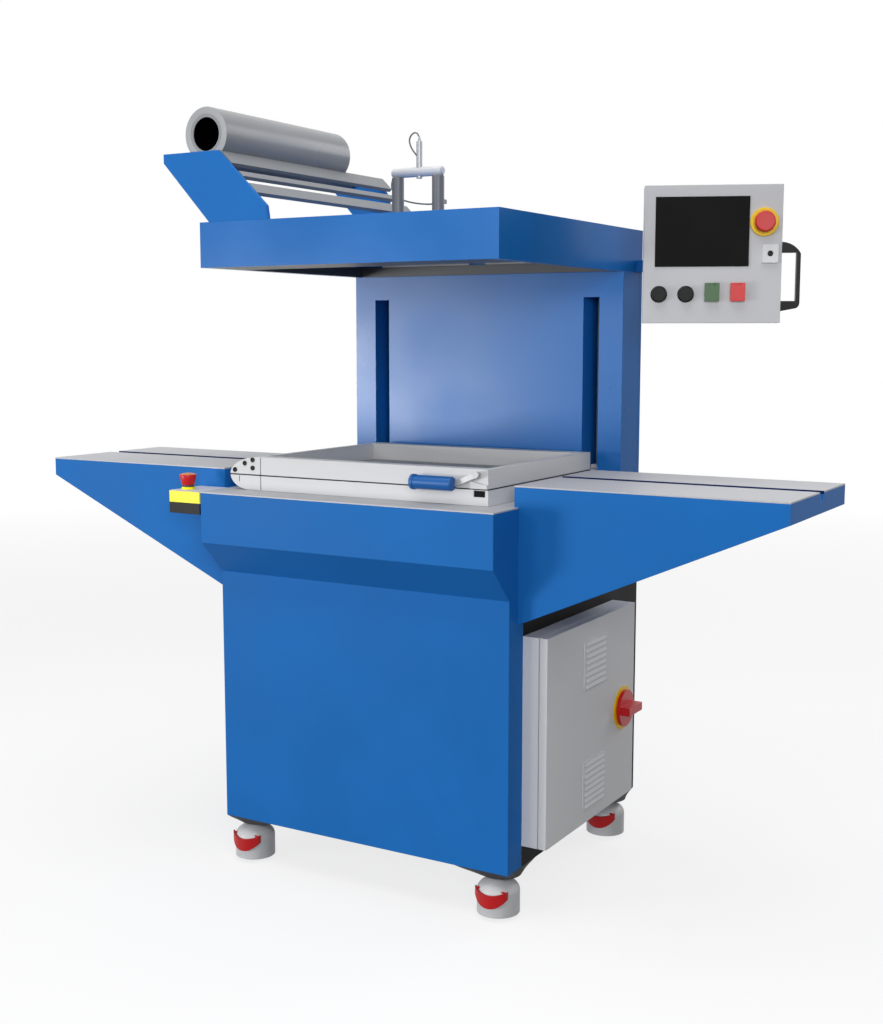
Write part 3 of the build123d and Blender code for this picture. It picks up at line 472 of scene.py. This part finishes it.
def addTurned(name, profile, centres, axis, finish, body, steps=28):
    # One piece for all the centres: a profile of (radius, height) in mm, turned about the axis
    grids = [turnedGrid(profile, centre, axis, steps) for centre in centres]
    face = gridFaces(steps, len(profile))
    points = np.concatenate([grid.reshape(-1, 3) for grid in grids])
    faces = np.concatenate([face + index * steps * len(profile) for index in range(len(grids))])
    return addPiece(name, points, faces, finish, body)


def addSlabs(name, corners, finish, body):
    # Thin plates, each from its lowest to its highest corner in metres
    unit = np.array([(x, y, z) for x in (0, 1) for y in (0, 1) for z in (0, 1)], float)
    side = np.array([(0, 1, 3, 2), (4, 6, 7, 5), (0, 4, 5, 1), (2, 3, 7, 6), (0, 2, 6, 4), (1, 5, 7, 3)])
    points = [np.array(low) + unit * (np.array(high) - np.array(low)) for low, high in corners]
    faces = np.concatenate([side + 8 * index for index in range(len(corners))])
    return addPiece(name, np.concatenate(points), faces, finish, body, smooth=False)


def onPanel(across, out, up):
    # From the panel's pivot: along its width, out of its face and up, in mm
    return panelPivot + mm * (across * panelAcross - out * panelInward + up * np.array([0, 0, 1.0]))


# The film frame's end plate, seams, gasket and a black block that paints the shade in the keeper's slot; across is
# measured from its left end, in mm
frameMarks = {
    "endInset": 9.0,
    "setback": 13.4,
    "sunk": 1.0,
    "seamProud": 0.2,
    "seamDrop": 3.0,
    "gasketGap": 0.4,
    "bolts": [(13.0, 8.5), (40.4, 24.0), (62.3, 32.0), (62.0, 14.0)],
    "boltProfile": [(0, 0.9), (2.6, 0.9), (2.9, 2.4), (4.6, 2.4), (5.3, 1.6), (5.3, -0.5)],
    "seamAcross": 83.5,
    "seamWidth": 1.6,
    "markAcross": 24.5,
    "markDrop": (4.0, 17.0),
    "gasketHeight": 2.2,
    "gasketProud": 0.35,
    "sideLength": 40.0,
    "keeperFromRight": (33.0, 7.0),
    "keeperDrop": (17.0, 4.0),
    "keeperDepth": (1.5, 8.8),
}


def dressFilmFrame():
    marks = frameMarks
    left = lowFrame[0].x + marks["endInset"] * mm
    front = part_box("front_panel")[0].y + marks["setback"] * mm
    right, rear, top = topFrame[1]
    low, split = lowFrame[0].z, (lowFrame[1].z + topFrame[0].z) / 2
    centres = [(left + x * mm, front, split + z * mm) for x, z in marks["bolts"]]
    addTurned("endPlateBolts", marks["boltProfile"], centres, (0, -1, 0), "blackPlastic",
              "clamp_frame")
    proud, sunk = marks["seamProud"] * mm, marks["sunk"] * mm
    half = marks["seamWidth"] / 2 * mm
    x = left + marks["seamAcross"] * mm
    addSlabs("clampSeam", [((x - half, front - proud, split), (x + half, front + sunk, top - sunk))],
             "seamDark", "clamp_frame")
    markX = left + marks["markAcross"] * mm
    drop = [split - d * mm for d in marks["markDrop"]]
    addSlabs("frameSeam", [
        ((x - half, front - proud, low + sunk), (x + half, front + sunk, split - marks["seamDrop"] * mm)),
        ((markX - half, front - proud, drop[1]), (markX + half, front + sunk, drop[0])),
    ], "seamDark", "film_frame")
    gasketTop = split - marks["gasketGap"] * mm
    gasketLow = gasketTop - marks["gasketHeight"] * mm
    proud = marks["gasketProud"] * mm
    addSlabs("frameGasket", [
        ((left - proud, front - proud, gasketLow), (right, front + sunk, gasketTop)),
        ((right - sunk, front - proud, gasketLow), (right + proud, rear, gasketTop)),
        ((left - proud, front - proud, gasketLow), (left + sunk, front + marks["sideLength"] * mm, gasketTop)),
    ], "tyreBlack", "film_frame")
    # A near-black block set into the keeper's slot paints the slot's shade
    keeper = [right - x * mm for x in marks["keeperFromRight"]]
    drop = [split - z * mm for z in marks["keeperDrop"]]
    depth = [front + y * mm for y in marks["keeperDepth"]]
    addSlabs("keeperShadeBlock", [((keeper[0], depth[0], drop[0]), (keeper[1], depth[1], drop[1]))],
             "blackPaintAndShade", "film_frame")


# Small fittings on the control panel, in mm from its centre line and above or below its centre
panelBits = {
    "face": 212.0,
    "bezelProfile": [(15.2, 0), (15.2, 2.6), (15.8, 3.2), (16.8, 3.0), (17.4, 2.2), (17.4, 0)],
    "bezels": [(-109.5, -82.5), (-53.5, -82.5)],
    "portPlace": (118.5, 0.5),
    "portProfile": [(0, 2.4), (5.9, 2.4), (5.9, 1.0)],
    "ringProfile": [(22.6, 5.0), (23.0, 5.8), (28.2, 5.6), (29.2, 4.6), (29.4, 3.0)],
    "ringPlace": (105.2, 65.5),
    "bezelSteps": 40,
    "ringSteps": 48,
}


def dressPanel():
    bits = panelBits
    outward = -panelInward
    rise = (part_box("panel_box")[0].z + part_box("panel_box")[1].z) / 2 - panelPivot[2]

    def place(spot):
        return onPanel(spot[0], bits["face"], rise / mm + spot[1])

    addTurned("buttonBezels", bits["bezelProfile"], [place(spot) for spot in bits["bezels"]], outward,
              "blackPlastic", "control_panel", bits["bezelSteps"])
    addTurned("portCentre", bits["portProfile"], [place(bits["portPlace"])], outward,
              "blackPlastic", "control_panel")
    addTurned("stopCollar", bits["ringProfile"], [place(bits["ringPlace"])], outward,
              "yellowPlastic", "control_panel", bits["ringSteps"])


# The stop box's mushroom button, from the box's top in mm: hollow head, domed cap, fixed neck, top plate
stopBox = {
    "head": [
        (0, 33.8), (17.4, 33.8), (18.4, 33.3), (18.9, 32.0), (14.3, 11.0),
        (13.9, 10.6), (13.1, 10.6), (13.1, 24.0), (0, 24.0),
    ],
    "cap": [(0, 36.8), (7.0, 36.5), (12.5, 35.6), (16.2, 34.3), (17.4, 33.4), (17.0, 32.8)],
    "neck": [(0, 13.0), (12.0, 13.0), (12.6, 12.4), (12.6, 1.6), (13.6, 1.2), (13.6, 0.5)],
    "plate": 0.8,
    "cover": 25.0,
    "steps": 48,
}


def dressStopBox():
    low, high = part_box("stop_box_base")
    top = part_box("stop_box_button")
    level = high.z + stopBox["cover"] * mm
    centre = ((top[0].x + top[1].x) / 2, (top[0].y + top[1].y) / 2, level)
    up = (0, 0, 1)
    steps = stopBox["steps"]
    head = addTurned("stopHead", stopBox["head"], [centre], up, "redPlastic",
                     "stop_box_button", steps)
    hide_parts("stop_box_button")
    addTurned("stopCap", stopBox["cap"], [centre], up, "orangeCap", "stop_box_button", steps)
    addTurned("stopNeck", stopBox["neck"], [centre], up, "neckGrey", "machine", steps)
    addSlabs("stopPlate", [((low.x, low.y, level), (high.x, high.y, level + stopBox["plate"] * mm))],
             "portGrey", "machine")


# Screws that hold the rear cover
coverScrews = {
    "edge": 14.0,
    "rows": 4,
    "profile": [(0, 2.2), (2.0, 2.2), (2.2, 3.0), (3.2, 2.6), (4.6, 1.4), (5.0, 0)],
}


def dressRear():
    low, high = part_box("rear_cover")
    edge = coverScrews["edge"] * mm
    rows = np.linspace(low.z + edge, high.z - edge, coverScrews["rows"])
    centres = [(x, high.y, z) for x in (low.x + edge, high.x - edge) for z in rows]
    addTurned("coverScrews", coverScrews["profile"], centres, (0, 1, 0), "turnedSteel",
              "machine")


# The film roll in mm: a near-black sheet paints the shade inside the core's bore and stays short of its ends, and
# the wound layers show as rings
coreShadeSheet = {"outer": 34.95, "inner": 34.5, "inset": 1.5, "steps": 48}
woundEnd = {"inner": 42.2, "outer": 56.3, "rings": 9, "rise": (0.1, 0.55), "steps": 72}


def windingProfile():
    # Radius grows in even steps and the height goes up and down between two levels
    radius = np.linspace(woundEnd["inner"], woundEnd["outer"], 2 * woundEnd["rings"] + 1)
    height = np.where(np.arange(len(radius)) % 2 == 0, *woundEnd["rise"])
    return np.stack([radius, height], -1)


def dressRoll():
    low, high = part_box("film_core")
    x, z = (low.x + high.x) / 2, (low.z + high.z) / 2
    for name, y, way in (("woundFront", low.y, -1), ("woundRear", high.y, 1)):
        profile = windingProfile()[::-1] if way < 0 else windingProfile()
        addTurned(name, profile, [(x, y, z)], (0, way, 0), "filmEdge", "film_roll", woundEnd["steps"])
    outer, inner, inset = coreShadeSheet["outer"], coreShadeSheet["inner"], coreShadeSheet["inset"]
    end = (high.y - low.y) / mm - inset
    # The near-black sheet inside the bore paints its shade
    profile = [(outer, inset), (inner, inset), (inner, end), (outer, end), (outer, inset)]
    addTurned("coreShadeSheet", profile, [(x, low.y, z)], (0, 1, 0), "coreBoreShade", "film_roll",
              coreShadeSheet["steps"])


# In mm: the strips inside the hood's rim, and on both walls of the side tables' grooves navy sheets that paint the
# grooves' shade
hoodStrip = {
    "side": 20.0,
    "depth": 108.8,
    "front": 130.0,
    "thick": 0.5,
    "gap": 0.1,
    "foot": 0.4,
    "tall": 23.0,
}
groove = {"setback": 205.0, "width": 30.0, "tall": 6.5, "thick": 0.35, "gap": 0.1, "end": 0.3}


def dressHood():
    low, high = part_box("hood_shell")
    rear = high.y - (hoodStrip["depth"] + hoodStrip["gap"]) * mm
    front = low.y + hoodStrip["front"] * mm
    left = low.x + (hoodStrip["side"] + hoodStrip["gap"]) * mm
    right = high.x - (hoodStrip["side"] + hoodStrip["gap"]) * mm
    foot = low.z + hoodStrip["foot"] * mm
    head = foot + hoodStrip["tall"] * mm
    thick = hoodStrip["thick"] * mm
    strips = [
        ((left, rear - thick, foot), (right, rear, head)),
        ((left, front, foot), (left + thick, rear - thick, head)),
        ((right - thick, front, foot), (right, rear - thick, head)),
    ]
    addSlabs("hoodStrip", strips, "flangeGrey", "machine")


def dressTables():
    # Navy sheets on both walls of each groove paint the groove's shade
    shadeSheets = []
    for name in ("left_table_top", "right_table_top"):
        low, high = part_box(name)
        middle = low.y + groove["setback"] * mm
        for way in (-1, 1):
            wall = middle + way * (groove["width"] / 2 - groove["gap"]) * mm
            inner = wall - way * groove["thick"] * mm
            shadeSheets.append(((low.x + groove["end"] * mm, min(wall, inner), high.z - groove["tall"] * mm),
                            (high.x - groove["end"] * mm, max(wall, inner), high.z - groove["gap"] * mm)))
    addSlabs("grooveShadeSheets", shadeSheets, "grooveShadeNavy", "machine")


# The casters' brackets in mm: a square flush with the body's corner flares from a round foot
brackets = {"foot": 42.0, "size": 125.0, "drop": 0.4, "rows": 7, "steps": 64, "swell": 0.75}


def bracketGrid(foot, footLevel, plate, plateLevel):
    # point = (1 - w) * circle(t) + w * square(t) with w = s ** swell, level = foot to plate with s
    turn = np.linspace(0, 2 * np.pi, brackets["steps"], endpoint=False)
    ring = np.stack([np.cos(turn), np.sin(turn)], -1)
    circle = np.array(foot) + brackets["foot"] * mm * ring
    square = np.array(plate) + brackets["size"] / 2 * mm * ring / np.abs(ring).max(1, keepdims=True)
    share = np.linspace(0, 1, brackets["rows"])
    weight = (share ** brackets["swell"])[None, :, None]
    flat = (1 - weight) * circle[:, None, :] + weight * square[:, None, :]
    level = footLevel + (plateLevel - footLevel) * share
    grid = np.concatenate([flat, np.broadcast_to(level[None, :, None], flat.shape[:2] + (1,))], -1)
    bottom = np.broadcast_to(np.array([*foot, footLevel]), (len(turn), 1, 3))
    top = np.broadcast_to(np.array([*plate, plateLevel]), (len(turn), 1, 3))
    return np.concatenate([bottom, grid, top], 1)


def makeBrackets():
    low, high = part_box("base_housing")
    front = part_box("front_panel")[0].y
    half = brackets["size"] / 2 * mm
    grids = []
    for row in ("front", "rear"):
        for hand, side in (("left", low.x + half), ("right", high.x - half)):
            swivel = joints["caster_swivel_" + row + "_" + hand]["pos_m"]
            plate = (side, front + half if row == "front" else high.y - half)
            grids.append(bracketGrid(swivel[:2], swivel[2] + brackets["drop"] * mm, plate, low.z))
    rows = grids[0].shape[1]
    face = gridFaces(brackets["steps"], rows)
    faces = np.concatenate([face + index * brackets["steps"] * rows for index in range(len(grids))])
    points = np.concatenate([grid.reshape(-1, 3) for grid in grids])
    made = addPiece("casterBrackets", points, faces, "bracketGrey", "machine")
    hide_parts("caster_brackets")


# The yoke in mm, to its middle and the hood's top: a bar painted lighter and two posts painted darker, lit and
# shaded copies of one steel, and the hose's gland
yokeShape = {
    "middle": 4.0,
    "span": 103.0,
    "post": [(0, 0), (13.4, 0), (13.4, 103.4), (12.4, 104.2), (0, 104.2)],
    "bar": [(0, 0), (7.0, 0), (9.8, 2.5), (10.4, 6.0), (10.4, 123.0), (9.8, 126.5), (7.0, 129.0), (0, 129.0)],
    "barLevel": 114.0,
    "gland": ((48.0, 13.0, 45.5), (57.0, 28.0, 54.5)),
    "steps": 48,
}


def makeYoke():
    low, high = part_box("yoke_rod")
    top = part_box("hood_shell")[1].z
    middle = np.array([(low.x + high.x) / 2 - yokeShape["middle"] * mm, (low.y + high.y) / 2, top])
    side = np.array([yokeShape["span"] / 2 * mm, 0, 0])
    slab = [tuple(middle + np.array(corner) * mm) for corner in yokeShape["gland"]]
    addSlabs("hoseGland", [slab], "postShadeGrey", "machine")
    addTurned("yokePosts", yokeShape["post"], [middle - side, middle + side], (0, 0, 1),
              "postShadeGrey", "machine", yokeShape["steps"])
    length = yokeShape["bar"][-1][1]
    start = middle + np.array([-length / 2, 0, yokeShape["barLevel"]]) * mm
    bar = addTurned("yokeBar", yokeShape["bar"], [start], (1, 0, 0), "barLitGrey", "machine",
                    yokeShape["steps"])
    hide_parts("yoke")


# The thin hose on the yoke: points to the yoke's centre and the hood's top, in mm, as in the part
hose = {
    "diameter": 3.5,
    "roundness": 5,
    "smoothness": 10,
    "length": 365.2,
    "points": [
        (4.0, 0.0, 179.0),
        (4.0, 0.0, 193.0),
        (-10.0, 1.0, 201.0),
        (-26.0, 4.0, 187.0),
        (-22.0, 8.0, 167.0),
        (-9.0, 13.0, 150.0),
        (-2.0, 19.0, 132.0),
        (-12.0, 23.0, 114.0),
        (-34.0, 24.0, 110.0),
        (-60.0, 23.0, 121.0),
        (-80.0, 23.0, 108.0),
        (-84.0, 23.0, 85.0),
        (-70.0, 23.5, 65.0),
        (-44.0, 24.0, 55.0),
        (-14.0, 24.0, 49.0),
        (16.0, 24.0, 46.0),
        (34.0, 24.0, 48.0),
        (47.5, 24.0, 50.0),
    ],
    "ferrule": [(0, 0), (3.6, 0), (3.6, 5.0), (3.0, 6.0), (2.4, 9.0), (2.4, 11.0)],
}


def makeHose():
    low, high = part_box("yoke_rod")
    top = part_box("hood_shell")[1].z
    centre = np.array([(low.x + high.x) / 2 - hose["points"][0][0] * mm, (low.y + high.y) / 2, top])
    points = centre + np.array(hose["points"]) * mm
    curve = bpy.data.curves.new("hoseLine", "CURVE")
    curve.dimensions = "3D"
    curve.bevel_depth = hose["diameter"] / 2 * mm
    curve.bevel_resolution = hose["roundness"]
    curve.resolution_u = hose["smoothness"]
    line = curve.splines.new("NURBS")
    line.points.add(len(points) - 1)
    for spot, place in zip(line.points, points):
        spot.co = (*place, 1.0)
    line.order_u = 3
    line.use_endpoint_u = True
    curve.materials.append(finishes["hoseGrey"])
    thing = bpy.data.objects.new("thinHose", curve)
    bpy.context.scene.collection.objects.link(thing)
    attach(thing, "machine")
    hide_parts("yoke_hose")
    addTurned("hoseFerrule", hose["ferrule"], [points[0]], (0, 0, 1), "turnedSteel", "machine")


dressFilmFrame()
dressPanel()
dressStopBox()
dressRear()
dressRoll()
dressHood()
dressTables()
makeBrackets()
makeYoke()
makeHose()
print("pieces made")

# Studio: softbox at the front left, a fill by the camera, a small lamp for the hood's sheen, a soft
# overhead, a lamp behind the machine, and a white floor that glows more the farther it lies
studio = {
    "floorSize": 40.0,
    "floorWhite": 0.92,
    "floorGlow": (0.78, 1.0),
    "glowReach": (2.5, 7.0),
    "floorBounce": 0.12,
    "surround": 0.12,
    "softbox": {"place": (-3.7, -4.6, 0.65), "aim": (0.0, 0.0, 1.0), "size": (1.4, 1.1), "power": 150.0},
    "fill": {"place": (3.0, -4.4, 2.2), "aim": (0.0, 0.0, 0.9), "size": (2.4, 2.0), "power": 120.0},
    "hoodLamp": {"place": (-1.15, -4.6, 1.85), "aim": (0.3, -0.3, 1.4), "size": (0.6, 0.5), "power": 22.0},
    "overhead": {"place": (0.0, -0.6, 4.6), "aim": (0.0, 0.0, 0.0), "size": (4.0, 4.0), "power": 150.0},
    "rear": {"place": (2.6, 4.6, 3.2), "aim": (0.0, 0.0, 0.9), "size": (2.4, 2.4), "power": 70.0},
}


def makeLamp(name, place, aim, size, power):
    data = bpy.data.lights.new(name, "AREA")
    data.shape = "RECTANGLE"
    data.size, data.size_y = size
    data.energy = power
    lamp = bpy.data.objects.new(name, data)
    bpy.context.scene.collection.objects.link(lamp)
    lamp.location = place
    lamp.rotation_euler = (Vector(aim) - Vector(place)).to_track_quat("-Z", "Y").to_euler()
    lamp.visible_camera = False


def seenRays(tree):
    # 1 on rays that come from the camera, a mirror surface or glass
    path = tree.nodes.new("ShaderNodeLightPath")
    total = path.outputs["Is Camera Ray"]
    for name in ("Is Glossy Ray", "Is Transmission Ray"):
        join = tree.nodes.new("ShaderNodeMath")
        join.operation = "MAXIMUM"
        tree.links.new(total, join.inputs[0])
        tree.links.new(path.outputs[name], join.inputs[1])
        total = join.outputs["Value"]
    return total


def makeFloor():
    size = studio["floorSize"]
    corners = [(-size, -size, 0), (size, -size, 0), (size, size, 0), (-size, size, 0)]
    mesh = bpy.data.meshes.new("studioFloor")
    mesh.from_pydata(corners, [], [(0, 1, 2, 3)])
    floor = bpy.data.objects.new("studioFloor", mesh)
    bpy.context.scene.collection.objects.link(floor)
    material, tree, shader, place = startMaterial("floorWhite")
    seen = seenRays(tree)
    bounce, white = [(studio[name],) * 3 + (1,) for name in ("floorBounce", "floorWhite")]
    tree.links.new(mixColour(tree, seen, bounce, white), shader.inputs["Base Color"])
    shader.inputs["Roughness"].default_value = 1.0
    shader.inputs["Specular IOR Level"].default_value = 0.0
    far = tree.nodes.new("ShaderNodeVectorMath")
    far.operation = "LENGTH"
    tree.links.new(place, far.inputs[0])
    glow = mapValue(tree, far.outputs["Value"], *studio["floorGlow"], *studio["glowReach"])
    share = tree.nodes.new("ShaderNodeMath")
    share.operation = "MULTIPLY"
    tree.links.new(glow, share.inputs[0])
    tree.links.new(seen, share.inputs[1])
    light = tree.nodes.new("ShaderNodeEmission")
    mix = tree.nodes.new("ShaderNodeMixShader")
    tree.links.new(share.outputs["Value"], mix.inputs["Fac"])
    tree.links.new(shader.outputs["BSDF"], mix.inputs[1])
    tree.links.new(light.outputs["Emission"], mix.inputs[2])
    tree.links.new(mix.outputs["Shader"], tree.nodes["Material Output"].inputs["Surface"])
    mesh.materials.append(material)


def makeSurround():
    world = bpy.data.worlds.new("studioAir")
    bpy.context.scene.world = world
    world.use_nodes = True
    tree = world.node_tree
    air = tree.nodes["Background"]
    air.inputs["Color"].default_value = (1, 1, 1, 1)
    air.inputs["Strength"].default_value = studio["surround"]
    shown = tree.nodes.new("ShaderNodeBackground")
    shown.inputs["Color"].default_value = (1, 1, 1, 1)
    mix = tree.nodes.new("ShaderNodeMixShader")
    tree.links.new(seenRays(tree), mix.inputs["Fac"])
    tree.links.new(air.outputs["Background"], mix.inputs[1])
    tree.links.new(shown.outputs["Background"], mix.inputs[2])
    tree.links.new(mix.outputs["Shader"], tree.nodes["World Output"].inputs["Surface"])


bpy.context.scene.view_settings.view_transform = "Standard"
makeFloor()
makeSurround()
for name in ("softbox", "fill", "hoodLamp", "overhead", "rear"):
    makeLamp(name, **studio[name])
print("studio made")
